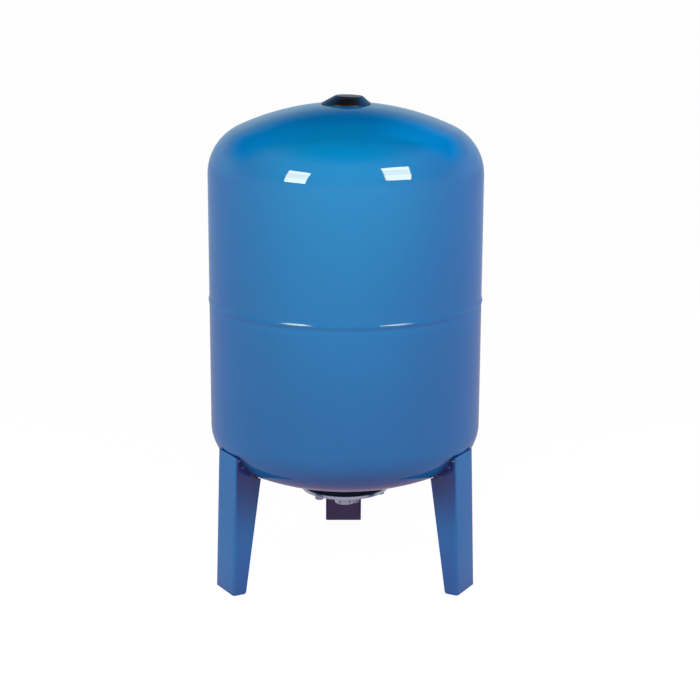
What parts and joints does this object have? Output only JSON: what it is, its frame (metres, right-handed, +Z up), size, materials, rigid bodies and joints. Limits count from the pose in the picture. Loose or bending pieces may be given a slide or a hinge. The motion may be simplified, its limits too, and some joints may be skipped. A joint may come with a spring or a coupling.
{
  "type": "well pressure tank",
  "caption": "Vertical steel pressure tank for a well water system, with a rubber membrane, a domed top, three folded legs and a bolted flange with a pipe nipple below.",
  "frame": {"origin": "centre of the footprint on the floor, on the tank's vertical axis", "axes": "+Z up the tank's axis, -Y to the front between the two front legs, +X to the right seen from the front"},
  "size_m": [0.4548, 0.4584, 0.8046],
  "materials": {
    "tank_enamel": "smooth glossy blue enamel",
    "zinc_plated": "zinc plated, satin",
    "valve_brass": "turned",
    "membrane_rubber": "matt black",
    "cover_plastic": "satin black, moulded"
  },
  "bodies": {
    "root": {"upper_shell": "tank_enamel", "lower_shell": "tank_enamel", "seam_weld": "tank_enamel", "neck_ring": "tank_enamel", "leg_front_left": "tank_enamel", "leg_front_right": "tank_enamel", "leg_rear": "tank_enamel", "membrane": "membrane_rubber", "water_flange": "zinc_plated", "pipe_nipple": "zinc_plated", "flange_bolt_1": "zinc_plated", "flange_bolt_2": "zinc_plated", "flange_bolt_3": "zinc_plated", "flange_bolt_4": "zinc_plated", "flange_bolt_5": "zinc_plated", "flange_bolt_6": "zinc_plated", "flange_washer_1": "zinc_plated", "flange_washer_2": "zinc_plated", "flange_washer_3": "zinc_plated", "flange_washer_4": "zinc_plated", "flange_washer_5": "zinc_plated", "flange_washer_6": "zinc_plated", "valve_stem": "valve_brass", "valve_core": "valve_brass", "valve_gasket": "membrane_rubber", "valve_washer": "zinc_plated", "valve_nut": "valve_brass", "valve_dust_cap": "cover_plastic", "valve_cover": "cover_plastic"}
  },
  "joints": []
}
